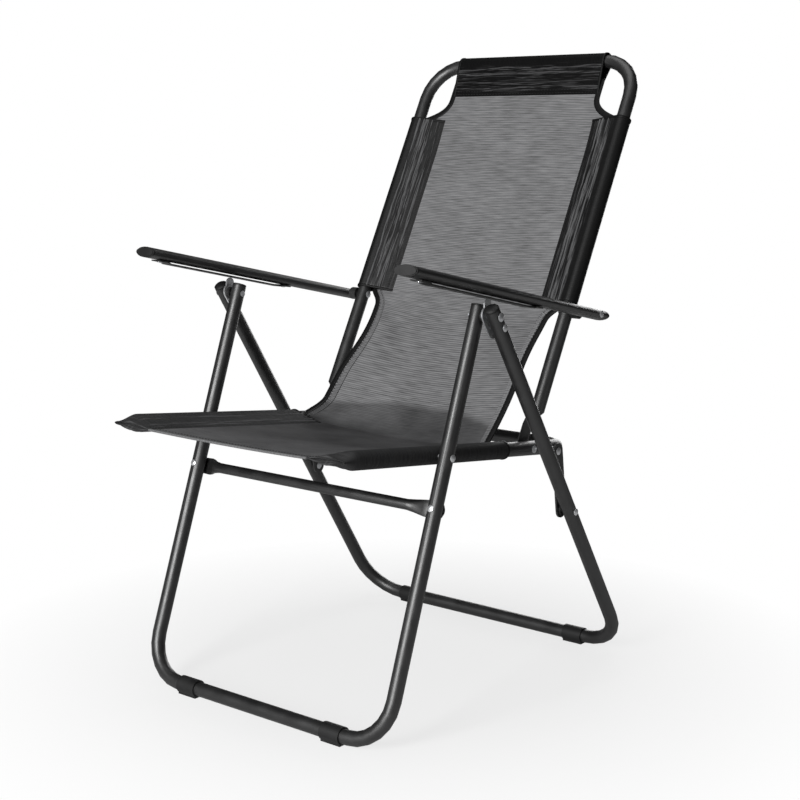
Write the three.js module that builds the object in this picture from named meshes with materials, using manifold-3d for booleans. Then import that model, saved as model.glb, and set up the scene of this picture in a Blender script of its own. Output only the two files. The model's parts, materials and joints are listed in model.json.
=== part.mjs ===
// Folding sling lawn chair: bent tube frames, riveted joints and a sewn mesh sling.
// Millimetres, +Z up, the chair faces -Y, X is the width.
import * as THREE from 'three';
import { mergeVertices } from 'three/addons/utils/BufferGeometryUtils.js';
import Module from 'manifold-3d';

const wasm = await Module();
wasm.setup();

// Driving dimensions
const TUBE = 22;
const WALL = 1.2;
const SIDES = 14;
const GAP = 0.35;
const FIT = 0.3;

const BAR_Z = 11;
const HINGE = [-82, 589];
const FRONT_BAR_Y = -289;
const REAR_BAR_Y = 289;
const LEG_TOP = 12;
const FRONT_BEND = 65;
const REAR_BEND = 70;

const SEAT_HALF = 211;
const LEG_CLEAR = 3.5;
const REAR_CLEAR = 8.5;
const FRONT_HALF = SEAT_HALF + TUBE + LEG_CLEAR;
const REAR_HALF = FRONT_HALF + TUBE + REAR_CLEAR;
const SEAT_PIVOT = 205;
const SEAT_TILT = 6.95;
const SEAT_FRONT = 171;
const SEAT_REAR = 350;
const SEAT_BEND = 44;

const BACK_INSET = 3;
const BACK_HALF = SEAT_HALF - BACK_INSET;
const BACK_PIVOT = 242.2;
const BACK_RECLINE = 27.7;
const BACK_LENGTH = 668;
const BACK_BEND = 65;
const LUG_THICK = 3.5;
const LUG_WIDTH = 28;
const LUG_LENGTH = 34;
const LUG_TAPER = 27;

const ARM_SIDE = 15.5;
const ARM_X = FRONT_HALF + ARM_SIDE;
const ARM_SIDES = 20;
const ARM_WIDTH = 39;
const ARM_HEIGHT = 16.3;
const ARM_SLOPE = 12.07;
const ARM_OVER = 37.04;
const ARM_FRONT = 463;
const ARM_REAR = 20;
const ARM_BUSH = 21;
const BOLT = 6;
const BOLT_HEAD = 12.4;
const COMB_WIDTH = 20;
const COMB_THICK = 2;
const COMB_DROP = 3.4;
const COMB_SLOTS = 7;
const COMB_SET = 29;
const COMB_LEAD = 51;
const COMB_TAIL = 16;

const STRETCHER = 16;
const STRETCHER_DROP = 74.34;
const LINK_WIDTH = 25;
const LINK_THICK = 3;
const LINK_LOW = 378.5;
const LINK_OFFSET = 20.8;
const LINK_HIGH = BACK_PIVOT + LINK_OFFSET;
const LINK_WASHER = 2.9;
const FOOT_LENGTH = 36;
const FOOT_WALL = 2;
const FRONT_FOOT_SET = 8;
const REAR_FOOT_SET = 3;
const FRONT_FOOT_X = FRONT_HALF - FRONT_BEND - FOOT_LENGTH / 2 - FRONT_FOOT_SET;
const REAR_FOOT_X = REAR_HALF - REAR_BEND - FOOT_LENGTH / 2 - REAR_FOOT_SET;

const CLOTH = 1.6;
const SLEEVE_SEAM = 57;
const SLEEVE_REAR = 182;
const CLOTH_TIP = 33;
const CLOTH_FRONT = SEAT_FRONT + CLOTH_TIP;
const SEAT_SAG = 9;
const BACK_SAG = 14;
const SLEEVE_CLEAR = 13;
const CORNER_OPEN = 108;
const SLEEVE_HIGH = BACK_LENGTH - CORNER_OPEN;
const TOP_BAND = 74;
const SPAN_HALF = 174;
const SPAN_BACK = 8;
const SPAN_DROP = 45;
const SPAN_RUN = 14;
const BAND_PAST = 3;
const TOP_BAND_HALF = BACK_HALF - BACK_BEND + BAND_PAST;

// Finishes
const finish = (color, metalness, roughness) => new THREE.MeshStandardMaterial({ color, metalness, roughness });
const BLACK = finish(0x1b1b1d, 0.4, 0.42);
const ZINC = finish(0xb9bcc0, 1.0, 0.32);
const PLASTIC = finish(0x161617, 0.0, 0.5);
const MESH = finish(0x4a4a4c, 0.0, 0.8);

const chair = new THREE.Group();
chair.name = 'folding_sling_chair';
const SIDE_NAMES = [['left', -1], ['right', 1]];

// Side-view vectors: [y, z] points and directions in the plane of symmetry
const rad = THREE.MathUtils.degToRad;
const at = (x, yz) => new THREE.Vector3(x, yz[0], yz[1]);
const along = (p, d, s, n = 0) => [p[0] + d[0] * s - d[1] * n, p[1] + d[1] * s + d[0] * n];
const toward = (p, q) => {
  const l = Math.hypot(q[0] - p[0], q[1] - p[1]);
  return [(q[0] - p[0]) / l, (q[1] - p[1]) / l];
};

const FRONT_BAR = [FRONT_BAR_Y, BAR_Z];
const REAR_BAR = [REAR_BAR_Y, BAR_Z];
const FRONT_DOWN = toward(HINGE, FRONT_BAR);
const REAR_DOWN = toward(HINGE, REAR_BAR);
const SEAT_A = along(HINGE, FRONT_DOWN, SEAT_PIVOT);
const RAIL = [Math.cos(rad(SEAT_TILT)), -Math.sin(rad(SEAT_TILT))];
const BACK_C = along(SEAT_A, RAIL, BACK_PIVOT);
const LINK_B = along(SEAT_A, RAIL, LINK_HIGH);
const LINK_D = along(HINGE, REAR_DOWN, LINK_LOW);
const BACK_UP = [Math.sin(rad(BACK_RECLINE)), Math.cos(rad(BACK_RECLINE))];
const ARM_FWD = [-Math.cos(rad(ARM_SLOPE)), Math.sin(rad(ARM_SLOPE))];
const overHinge = (p) => (p[0] - HINGE[0]) * ARM_FWD[1] - (p[1] - HINGE[1]) * ARM_FWD[0];
const ARM_PIVOT = (ARM_OVER - overHinge(BACK_C)) / (BACK_UP[0] * ARM_FWD[1] - BACK_UP[1] * ARM_FWD[0]);
const ARM_E = along(BACK_C, BACK_UP, ARM_PIVOT);
const SLEEVE_LOW = ARM_PIVOT + SLEEVE_CLEAR;

// Solids
function solid(geometry) {
  const g = geometry.clone();
  g.deleteAttribute('normal');
  g.deleteAttribute('uv');
  const m = mergeVertices(g, 1e-4);
  const tris = [];
  for (let i = 0; i < m.index.count; i += 3) {
    const [a, b, c] = [m.index.getX(i), m.index.getX(i + 1), m.index.getX(i + 2)];
    if (a !== b && b !== c && c !== a) tris.push(a, b, c);
  }
  return new wasm.Manifold(new wasm.Mesh({
    numProp: 3,
    vertProperties: Float32Array.from(m.attributes.position.array),
    triVerts: Uint32Array.from(tris),
  }));
}

function geometryOf(manifold) {
  const mesh = manifold.getMesh();
  const g = new THREE.BufferGeometry();
  g.setAttribute('position', new THREE.BufferAttribute(mesh.vertProperties, 3));
  g.setIndex(new THREE.BufferAttribute(mesh.triVerts, 1));
  g.computeVertexNormals();
  return g;
}

function cut(geometry, ...tools) {
  let body = solid(geometry);
  for (const tool of tools) body = body.subtract(solid(tool));
  return geometryOf(body);
}

function join(...pieces) {
  let body = solid(pieces[0]);
  for (const piece of pieces.slice(1)) body = body.add(solid(piece));
  return geometryOf(body);
}

function put(name, geometry, material) {
  const mesh = new THREE.Mesh(geometryOf(solid(geometry)), material);
  mesh.name = name;
  chair.add(mesh);
}

// Ring loft: hollow tube through stations {p, u, v, a, b}, with open ends
function tube(stations, wall = WALL, sides = SIDES) {
  const positions = [];
  const index = [];
  const ring = (st, inset) => {
    for (let k = 0; k < sides; k++) {
      const t = (2 * Math.PI * (k + 0.5)) / sides;
      const q = st.p.clone();
      q.addScaledVector(st.u, (st.a - inset) * Math.cos(t));
      q.addScaledVector(st.v, (st.b - inset) * Math.sin(t));
      positions.push(q.x, q.y, q.z);
    }
  };
  for (const st of stations) ring(st, 0);
  for (const st of stations) ring(st, wall);
  const n = stations.length;
  const quad = (a, b, c, d) => index.push(a, b, c, a, c, d);
  for (let k = 0; k < sides; k++) {
    const j = (k + 1) % sides;
    for (let i = 0; i < n - 1; i++) {
      const o = i * sides;
      quad(o + k, o + j, o + sides + j, o + sides + k);
      const w = (n + i) * sides;
      quad(w + k, w + sides + k, w + sides + j, w + j);
    }
    const last = (n - 1) * sides;
    quad(k, n * sides + k, n * sides + j, j);
    quad(last + k, last + j, n * sides + last + j, n * sides + last + k);
  }
  const g = new THREE.BufferGeometry();
  g.setAttribute('position', new THREE.Float32BufferAttribute(positions, 3));
  g.setIndex(index);
  return g;
}

// U-shaped tube in a tilted plane: open ends at `open`, cross bar at `corner`, both [y, z]
function uStations(half, open, corner, bend, steps = 6) {
  const d = at(0, toward(open, corner));
  const X = new THREE.Vector3(1, 0, 0);
  const u = new THREE.Vector3().crossVectors(X, d);
  const out = [];
  const add = (p, t) => out.push({ p, u, v: new THREE.Vector3().crossVectors(t, u), a: TUBE / 2, b: TUBE / 2 });
  add(at(-half, open), d);
  for (const side of [-1, 1]) {
    const c = at(side * (half - bend), corner).addScaledVector(d, -bend);
    for (let k = 0; k <= steps; k++) {
      const f = (Math.PI / 2) * (side < 0 ? k / steps : 1 - k / steps);
      const p = c.clone().addScaledVector(X, side * bend * Math.cos(f)).addScaledVector(d, bend * Math.sin(f));
      const t = X.clone().multiplyScalar(-side * Math.sin(f)).addScaledVector(d, Math.cos(f)).multiplyScalar(-side);
      add(p, t);
    }
  }
  add(at(half, open), d.clone().negate());
  return out;
}

function bar(radius, length, x, yz, sides = 20) {
  const g = new THREE.CylinderGeometry(radius, radius, length, sides);
  g.rotateZ(Math.PI / 2);
  return g.translate(x, yz[0], yz[1]);
}

// Plate of an outline in the side view, `thick` along X and centred at x
function plate(shape, thick, x, curveSegments = 6) {
  const g = new THREE.ExtrudeGeometry(shape, { depth: thick, bevelEnabled: false, curveSegments });
  g.translate(0, 0, -thick / 2);
  g.applyMatrix4(new THREE.Matrix4().set(0, 0, 1, 0, 1, 0, 0, 0, 0, 1, 0, 0, 0, 0, 0, 1));
  return g.translate(x, 0, 0);
}

function disc(center, radius) {
  const s = new THREE.Path();
  s.absarc(center[0], center[1], radius, 0, 2 * Math.PI, true);
  return s;
}

// Rounded bar outline from p to q with a hole at each listed point
function strapShape(p, q, width, holes = [], hole = 0) {
  const d = toward(p, q);
  const a = Math.atan2(d[1], d[0]);
  const s = new THREE.Shape();
  s.absarc(q[0], q[1], width / 2, a - Math.PI / 2, a + Math.PI / 2, false);
  s.absarc(p[0], p[1], width / 2, a + Math.PI / 2, a + 1.5 * Math.PI, false);
  s.closePath();
  for (const h of holes) s.holes.push(disc(h, hole));
  return s;
}

function ringShape(center, outer, inner) {
  const s = new THREE.Shape();
  s.absarc(center[0], center[1], outer, 0, 2 * Math.PI, false);
  s.holes.push(disc(center, inner));
  return s;
}

// Rivet turned about its own axis: a domed head at each end of the grip length
function rivet(shank, grip, head, dome, tail = head, tailDome = dome) {
  const pts = [[0, -tailDome], [tail * 0.55, -tailDome * 0.82], [tail, -tailDome * 0.25], [tail, 0], [shank, 0],
    [shank, grip], [head, grip], [head, grip + dome * 0.25], [head * 0.55, grip + dome * 0.82], [0, grip + dome]];
  return new THREE.LatheGeometry(pts.map((q) => new THREE.Vector2(q[0], q[1])), 10);
}

// Geometry built along +Y, turned to run from p along dir
function aim(geometry, p, dir) {
  const q = new THREE.Quaternion().setFromUnitVectors(new THREE.Vector3(0, 1, 0), dir);
  return geometry.applyQuaternion(q).translate(p.x, p.y, p.z);
}

const X_AXIS = new THREE.Vector3(1, 0, 0);

// Rivet along X: grip faces at x0 and x1, head at x1
function rivetX(x0, x1, yz, shank, head, dome, tail, tailDome) {
  const dir = X_AXIS.clone().multiplyScalar(Math.sign(x1 - x0));
  return aim(rivet(shank, Math.abs(x1 - x0), head, dome, tail, tailDome), at(x0, yz), dir);
}

function holeX(radius, yz, x, length) {
  return bar(radius + FIT, length, x, yz, 10);
}

function holeAlong(radius, p, dir, length) {
  const g = new THREE.CylinderGeometry(radius + FIT, radius + FIT, length, 10);
  return aim(g, p, dir);
}

// End plug: a stem inside the tube and a turned cap of the listed [radius, height] points
function plug(p, dir, cap) {
  const stem = TUBE / 2 - WALL - GAP;
  const pts = [[0, -7], [stem - 1, -7], [stem, -6], [stem, GAP], ...cap.map(([r, h]) => [r, h + GAP])];
  const g = new THREE.LatheGeometry(pts.map((q) => new THREE.Vector2(q[0], q[1])), SIDES);
  return aim(g, p, dir);
}

// Frames
const R = TUBE / 2;
const PIN = 3.5;
const HEAD = 6.5;
const FRONT_TOP = along(HINGE, FRONT_DOWN, -LEG_TOP);
const REAR_TOP = along(HINGE, REAR_DOWN, -LEG_TOP);
const PLATE_RIVET = along(HINGE, REAR_DOWN, 19);
const STRETCH = SEAT_PIVOT + STRETCHER_DROP;
const STRETCH_P = along(HINGE, FRONT_DOWN, STRETCH);
const LEG_BACK = at(0, [-FRONT_DOWN[1], FRONT_DOWN[0]]);
const FLAT_N = R + GAP + LUG_THICK / 2;
const RIVET_R = 2.6;

const both = (fn) => [fn(-1), fn(1)];
const frontHoles = [
  ...both((s) => holeX(PIN, HINGE, s * FRONT_HALF, 30)),
  ...both((s) => holeX(PIN, SEAT_A, s * FRONT_HALF, 30)),
  ...both((s) => holeAlong(RIVET_R, at(s * FRONT_HALF, STRETCH_P), LEG_BACK, 30)),
];
put('front_leg_frame', cut(tube(uStations(FRONT_HALF, FRONT_TOP, FRONT_BAR, FRONT_BEND)), ...frontHoles), BLACK);

const rearHoles = [HINGE, PLATE_RIVET, LINK_D].flatMap((p) => both((s) => holeX(PIN, p, s * REAR_HALF, 30)));
put('rear_leg_frame', cut(tube(uStations(REAR_HALF, REAR_TOP, REAR_BAR, REAR_BEND)), ...rearHoles), BLACK);

const seatHoles = [SEAT_A, BACK_C, LINK_B].flatMap((p) => both((s) => holeX(PIN, p, s * SEAT_HALF, 30)));
const RAIL_FRONT = along(SEAT_A, RAIL, -SEAT_FRONT);
const SEAT_END = along(SEAT_A, RAIL, SEAT_REAR);
put('seat_frame', cut(tube(uStations(SEAT_HALF, RAIL_FRONT, SEAT_END, SEAT_BEND)), ...seatHoles), BLACK);

// Back frame: round tube pressed flat at its lower ends, [distance, half width, half thickness, x]
const LUG_X = SEAT_HALF - R - GAP - LUG_THICK / 2;
const lugStations = () => {
  const w = LUG_WIDTH / 2;
  const t = LUG_THICK / 2;
  const step = (f) => [LUG_LENGTH + LUG_TAPER * f, w + (R - w) * f, t + (R - t) * f * f, LUG_X + (BACK_HALF - LUG_X) * f * f];
  const tip = (f) => [-w * f, w * Math.sqrt(1 - f * f), t, LUG_X];
  return [tip(0.94), tip(0.75), tip(0.4), [0, w, t, LUG_X], step(0), step(0.35), step(0.7), step(1)];
};
const BACK_TOP = along(BACK_C, BACK_UP, BACK_LENGTH);
const backStations = uStations(BACK_HALF, BACK_C, BACK_TOP, BACK_BEND).slice(1, -1);
const backEnds = both((side) => lugStations().map(([s, a, b, x]) => {
  const d = at(0, BACK_UP);
  const u = new THREE.Vector3().crossVectors(X_AXIS, d);
  const v = new THREE.Vector3().crossVectors(d.multiplyScalar(-side), u);
  return { p: at(side * x, along(BACK_C, BACK_UP, s)), u, v, a, b };
}));
const backHoles = [
  ...both((s) => holeX(PIN, BACK_C, s * LUG_X, 12)),
  ...both((s) => holeX(BOLT / 2, ARM_E, s * BACK_HALF, 30)),
];
const backTube = tube([...backEnds[0], ...backStations, ...backEnds[1].reverse()]);
put('back_frame', cut(backTube, ...backHoles), BLACK);

// Stretcher: its ends are pressed flat behind the legs, [x past the leg, half height, half depth, set back]
const flat = LUG_THICK / 2;
const stretchEnd = [[6.5, 4.5, flat, FLAT_N], [4.5, 9, flat, FLAT_N], [-1.5, 13, flat, FLAT_N],
  [-16.5, 13.5, flat, FLAT_N], [-26.5, 12, 4, 9], [-36.5, 9.6, 7, 2.5], [-48.5, STRETCHER / 2, STRETCHER / 2, 0]];
const stretchRow = (side) => stretchEnd.map(([past, a, b, n]) => {
  const x = FRONT_HALF + past;
  const u = at(0, FRONT_DOWN);
  const v = new THREE.Vector3().crossVectors(X_AXIS, u);
  return { p: at(side * x, along(STRETCH_P, FRONT_DOWN, 0, n)), u, v, a, b };
});
const stretcherTube = tube([...stretchRow(-1), ...stretchRow(1).reverse()]);
const stretcherHoles = both((s) => holeAlong(RIVET_R, at(s * FRONT_HALF, STRETCH_P), LEG_BACK, 40));
put('front_stretcher', cut(stretcherTube, ...stretcherHoles), BLACK);

// Arm and comb outlines: distance forward of the arm pivot, height above the arm axis
const armPoint = (s, h) => along(ARM_E, ARM_FWD, s, -h);
const ARM_UP = at(0, [Math.sin(rad(ARM_SLOPE)), Math.cos(rad(ARM_SLOPE))]);
const COMB_H = -ARM_HEIGHT / 2 - COMB_DROP;
const TONGUE_LEAN = 5;
const TONGUE_S = (ARM_E[0] - HINGE[0] - TONGUE_LEAN) / Math.cos(rad(ARM_SLOPE));
const TONGUE_R = 8;
const TONGUE = armPoint(TONGUE_S, COMB_H - COMB_THICK / 2 - 0.7 - TONGUE_R);
const TAB_FRONT = ARM_FRONT - COMB_SET;
const COMB_RUN = TAB_FRONT - TONGUE_S - COMB_LEAD;
const COMB_PITCH = (2 * COMB_RUN) / (COMB_SLOTS - 1);
const TAB_REAR = TONGUE_S - COMB_RUN - COMB_TAIL;

function armStations(x) {
  const t = at(0, ARM_FWD);
  return [-ARM_REAR, ARM_FRONT].map((s) => (
    { p: at(x, armPoint(s, 0)), u: X_AXIS, v: ARM_UP, a: ARM_WIDTH / 2, b: ARM_HEIGHT / 2, t }));
}

function ovalPlug(p, v, t, cap) {
  const oval = (inset) => new THREE.Shape(Array.from({ length: ARM_SIDES }, (_, k) => {
    const a = (2 * Math.PI * (k + 0.5)) / ARM_SIDES;
    return new THREE.Vector2((ARM_WIDTH / 2 - inset) * Math.cos(a), (ARM_HEIGHT / 2 - inset) * Math.sin(a));
  }));
  const opts = (depth) => ({ depth, bevelEnabled: false });
  const stem = new THREE.ExtrudeGeometry(oval(WALL + GAP), opts(12 + GAP + 0.5)).translate(0, 0, -12);
  const face = new THREE.ExtrudeGeometry(oval(0), opts(cap * 0.6)).translate(0, 0, GAP);
  const crown = new THREE.ExtrudeGeometry(oval(1.2), opts(cap * 0.5)).translate(0, 0, GAP + cap * 0.5);
  const m = new THREE.Matrix4().makeBasis(X_AXIS, v, t).setPosition(p);
  return join(stem, face, crown).applyMatrix4(m);
}

function comb(x) {
  const half = COMB_THICK / 2;
  const tabH = -ARM_HEIGHT / 2 - GAP - half;
  const line = [[TAB_REAR - 9, tabH], [TAB_REAR + 8, tabH], [TAB_REAR + 13, COMB_H], [TAB_FRONT - 15, COMB_H],
    [TAB_FRONT - 10, tabH], [TAB_FRONT + 8, tabH]];
  const upper = line.map(([s, h]) => armPoint(s, h + half));
  const lower = line.map(([s, h]) => armPoint(s, h - half)).reverse();
  const shape = new THREE.Shape([...upper, ...lower].map((q) => new THREE.Vector2(q[0], q[1])));
  const slots = [];
  for (let k = 0; k < COMB_SLOTS; k++) {
    const s = TONGUE_S + COMB_PITCH * (k - (COMB_SLOTS - 1) / 2);
    const q = armPoint(s, COMB_H);
    slots.push(new THREE.BoxGeometry(12, 6, 8).rotateX(-rad(ARM_SLOPE)).translate(x, q[0], q[1]));
  }
  const holes = [TAB_REAR, TAB_FRONT].map((s) => holeAlong(RIVET_R, at(x, armPoint(s, tabH)), ARM_UP, 6));
  return cut(plate(shape, COMB_WIDTH, x), ...slots, ...holes);
}

for (const [side, sx] of SIDE_NAMES) {
  const x = sx * ARM_X;
  const st = armStations(x);
  const holes = [holeX(BOLT / 2, ARM_E, x, ARM_WIDTH + 10)];
  for (const s of [TAB_REAR, TAB_FRONT]) {
    holes.push(holeAlong(RIVET_R, at(x, armPoint(s, -ARM_HEIGHT / 2)), ARM_UP, ARM_HEIGHT / 2));
  }
  put(`arm_tube_${side}`, cut(tube(st, WALL, ARM_SIDES), ...holes), BLACK);
  const front = st[st.length - 1];
  const rear = st[0];
  put(`arm_front_cap_${side}`, ovalPlug(front.p, front.v, front.t, 4), PLASTIC);
  const back = rear.t.clone().negate();
  const down = rear.v.clone().negate();
  put(`arm_rear_cap_${side}`, ovalPlug(rear.p, down, back, 6), PLASTIC);
  put(`arm_comb_${side}`, comb(x), BLACK);
  for (const [end, s] of [['rear', TAB_REAR], ['front', TAB_FRONT]]) {
    const low = -ARM_HEIGHT / 2 - 2 * GAP - COMB_THICK;
    const grip = WALL + 5 * GAP + COMB_THICK;
    const g = rivet(RIVET_R, grip, 4, 1.2, 4.6, 1.4);
    put(`comb_rivet_${end}_${side}`, aim(g, at(x, armPoint(s, low)), ARM_UP), ZINC);
  }
  const grip = [BACK_HALF - R - GAP, ARM_X + ARM_WIDTH / 2 + GAP].map((v) => sx * v);
  const bolt = rivetX(...grip, ARM_E, BOLT / 2, 5.4, 2.2, BOLT_HEAD / 2, 2);
  put(`arm_bolt_${side}`, bolt, ZINC);
  const s0 = BACK_HALF + R + GAP;
  const s1 = ARM_X - ARM_WIDTH / 2 - GAP;
  const bush = ringShape(ARM_E, ARM_BUSH / 2, BOLT / 2 + FIT);
  put(`arm_spacer_${side}`, plate(bush, s1 - s0, sx * (s0 + s1) / 2), BLACK);
}

// Hinge hardware, links, feet and plugs
const PLATE_T = 2.5;
const plateIn = REAR_HALF - R - GAP - PLATE_T;
const LINK_X = REAR_HALF - R - LINK_WASHER - LINK_THICK - 2 * GAP;
const tongueShape = strapShape(HINGE, TONGUE, 2 * TONGUE_R);
const plateShape = strapShape(along(HINGE, REAR_DOWN, -3), along(HINGE, REAR_DOWN, 26), 23);
const UP_FRONT = at(0, FRONT_DOWN).negate();
const UP_REAR = at(0, REAR_DOWN).negate();
const RAIL_AHEAD = at(0, RAIL).negate();
for (const [side, sx] of SIDE_NAMES) {
  const mid = sx * (plateIn + PLATE_T / 2);
  const holes = [HINGE, PLATE_RIVET].map((p) => holeX(PIN, p, mid, 12));
  put(`hinge_plate_${side}`, cut(join(plate(plateShape, PLATE_T, mid), plate(tongueShape, PLATE_T, mid)), ...holes), ZINC);
  const w0 = FRONT_HALF + R + GAP;
  const w1 = plateIn - GAP;
  put(`hinge_washer_${side}`, plate(ringShape(HINGE, 9.5, PIN + FIT), w1 - w0, sx * (w0 + w1) / 2), PLASTIC);
  const out = sx * (REAR_HALF + R + GAP);
  put(`hinge_rivet_${side}`, rivetX(sx * (FRONT_HALF - R - GAP), out, HINGE, PIN, HEAD, 2.6, 5, 1.2), ZINC);
  put(`plate_rivet_${side}`, rivetX(sx * (plateIn - GAP), out, PLATE_RIVET, PIN, HEAD - 1, 2.4, 5.5, 1.2), ZINC);

  const linkHoles = [LINK_D, LINK_B];
  const linkShape = strapShape(LINK_D, LINK_B, LINK_WIDTH, linkHoles, PIN + FIT);
  const linkMid = sx * (LINK_X + LINK_THICK / 2);
  put(`seat_link_${side}`, plate(linkShape, LINK_THICK, linkMid), BLACK);
  const l0 = LINK_X + LINK_THICK + GAP;
  const l1 = REAR_HALF - R - GAP;
  put(`link_washer_${side}`, plate(ringShape(LINK_D, 9, PIN + FIT), l1 - l0, sx * (l0 + l1) / 2), PLASTIC);
  put(`link_leg_rivet_${side}`, rivetX(sx * (LINK_X - GAP), out, LINK_D, PIN, HEAD - 1, 2.4, 6, 1.2), ZINC);
  put(`link_top_rivet_${side}`, rivetX(sx * (LINK_X + 0.4), sx * l0, LINK_B, PIN, 6, 2.2, PIN, 0.3), ZINC);

  const pinOut = LINK_X - 0.9;
  const pin = rivetX(sx * (SEAT_HALF - R + GAP), sx * (SEAT_HALF + R + 1), LINK_B, PIN, PIN, 0.3, PIN, 0.3);
  const sleeve = bar(6, pinOut - (SEAT_HALF + R + GAP), sx * (pinOut + SEAT_HALF + R + GAP) / 2, LINK_B, 16);
  put(`link_pin_${side}`, join(pin, sleeve), ZINC);

  const legOut = sx * (FRONT_HALF + R + GAP);
  put(`seat_rivet_${side}`, rivetX(sx * (SEAT_HALF - R - GAP), legOut, SEAT_A, PIN, HEAD - 1, 2.4, 6, 1.8), ZINC);
  const lugIn = sx * (LUG_X - LUG_THICK / 2 - GAP);
  const railOut = sx * (SEAT_HALF + R + GAP);
  put(`back_rivet_${side}`, rivetX(lugIn, railOut, BACK_C, PIN, 6, 2, 6.5, 2.2), ZINC);
  const n0 = FLAT_N + LUG_THICK / 2 + GAP;
  const tail = at(sx * FRONT_HALF, along(STRETCH_P, FRONT_DOWN, 0, n0));
  const ahead = LEG_BACK.clone().negate();
  put(`stretcher_rivet_${side}`, aim(rivet(RIVET_R, n0 + R + GAP, 5, 2, 4.6, 1.4), tail, ahead), ZINC);

  const flush = [[R, 0], [R, 2], [R - 0.8, 2.8], [0, 2.8]];
  const mushroom = [[R, 0], [R, 2], [R - 1, 3], [R * 0.6, 5], [0, 5.8]];
  put(`front_leg_cap_${side}`, plug(at(sx * FRONT_HALF, FRONT_TOP), UP_FRONT, flush), PLASTIC);
  put(`rear_leg_cap_${side}`, plug(at(sx * REAR_HALF, REAR_TOP), UP_REAR, mushroom), PLASTIC);
  put(`rail_plug_${side}`, plug(at(sx * SEAT_HALF, RAIL_FRONT), RAIL_AHEAD, flush), PLASTIC);

  for (const [end, fx, bar0] of [['front', FRONT_FOOT_X, FRONT_BAR], ['rear', REAR_FOOT_X, REAR_BAR]]) {
    const r = R + GAP + FOOT_WALL;
    const s = new THREE.Shape();
    s.absarc(bar0[0], bar0[1], r, -0.9, Math.PI + 0.9, false);
    s.lineTo(bar0[0] - r * Math.cos(0.9), bar0[1] - r);
    s.lineTo(bar0[0] + r * Math.cos(0.9), bar0[1] - r);
    s.holes.push(disc(bar0, R + GAP));
    put(`${end}_foot_${side}`, plate(s, FOOT_LENGTH, sx * fx, 10), PLASTIC);
  }
}

// Sling: a sewn sleeve along each side tube and a sagging panel between the two seams
const SLEEVE_R = R + GAP + CLOTH;
const SEAM_ANGLE = Math.acos(SLEEVE_R / SLEEVE_SEAM);
const INNER_SEAM = ((R + GAP) / SLEEVE_R) * SLEEVE_SEAM;

function slingShape(half, sag) {
  const s = new THREE.Shape();
  const edge = half - SLEEVE_SEAM;
  const curve = (x) => sag * (1 - (x / edge) ** 2);
  const h = CLOTH / 2;
  s.absarc(half, 0, SLEEVE_R, Math.PI - SEAM_ANGLE, SEAM_ANGLE - Math.PI, true);
  for (let k = 0; k <= 12; k++) {
    const x = edge - (2 * edge * k) / 12;
    s.lineTo(x, curve(x) - h);
  }
  s.absarc(-half, 0, SLEEVE_R, -SEAM_ANGLE, SEAM_ANGLE, true);
  for (let k = 0; k <= 12; k++) {
    const x = -edge + (2 * edge * k) / 12;
    s.lineTo(x, curve(x) + h);
  }
  s.closePath();
  for (const sx of [-1, 1]) {
    const hole = new THREE.Path();
    const start = sx > 0 ? Math.PI - SEAM_ANGLE : -SEAM_ANGLE;
    const end = sx > 0 ? SEAM_ANGLE - Math.PI : SEAM_ANGLE;
    hole.absarc(sx * half, 0, R + GAP, end, start, false);
    hole.lineTo(sx * (half - INNER_SEAM), 0);
    hole.closePath();
    s.holes.push(hole);
  }
  return s;
}

// Cross-section drawn in X and the sheet's normal, run along `dir` from a side-view point
function run(shape, p, dir, length, steps = 1) {
  const g = new THREE.ExtrudeGeometry(shape, { depth: length, steps, bevelEnabled: false, curveSegments: 10 });
  const t = at(0, dir);
  const n = new THREE.Vector3().crossVectors(t, X_AXIS);
  return g.applyMatrix4(new THREE.Matrix4().makeBasis(X_AXIS, n, t).setPosition(at(0, p)));
}

const seatBody = run(slingShape(SEAT_HALF, -SEAT_SAG), along(SEAT_A, RAIL, SLEEVE_REAR),
  [-RAIL[0], -RAIL[1]], SLEEVE_REAR + CLOTH_FRONT);
const seatEyes = both((s) => holeX(PIN + 0.7, SEAT_A, s * (SEAT_HALF + R), 12));
put('seat_sling', cut(seatBody, ...seatEyes), MESH);

const backBody = run(slingShape(BACK_HALF, BACK_SAG), along(BACK_C, BACK_UP, SLEEVE_LOW), BACK_UP, SLEEVE_HIGH - SLEEVE_LOW);
const bandShape = new THREE.Shape();
const bandHalf = (x) => BACK_SAG * (1 - (x / (BACK_HALF - SLEEVE_SEAM)) ** 2);
for (let k = 0; k <= 12; k++) {
  const x = TOP_BAND_HALF * (1 - k / 6);
  if (k === 0) bandShape.moveTo(x, bandHalf(x) - CLOTH / 2);
  else bandShape.lineTo(x, bandHalf(x) - CLOTH / 2);
}
for (let k = 0; k <= 12; k++) {
  const x = TOP_BAND_HALF * (k / 6 - 1);
  bandShape.lineTo(x, bandHalf(x) + CLOTH / 2);
}
const BAND_LOW = BACK_LENGTH + SLEEVE_R - TOP_BAND;
const bandRun = BAND_LOW + 6 - (SLEEVE_HIGH - 10);
const band = run(bandShape, [0, 0], [0, 1], bandRun, 6);
const bandPos = band.attributes.position;
for (let i = 0; i < bandPos.count; i++) {
  const s = bandPos.getZ(i);
  const f = Math.min(1, Math.max(0, (s - 10) / (bandRun - 16)));
  const x = bandPos.getX(i);
  bandPos.setY(i, bandPos.getY(i) - bandHalf(x) * f * f * (3 - 2 * f));
}
const backN = new THREE.Vector3().crossVectors(at(0, BACK_UP), X_AXIS);
band.applyMatrix4(new THREE.Matrix4().makeBasis(X_AXIS, backN, at(0, BACK_UP))
  .setPosition(at(0, along(BACK_C, BACK_UP, SLEEVE_HIGH - 10))));

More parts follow.
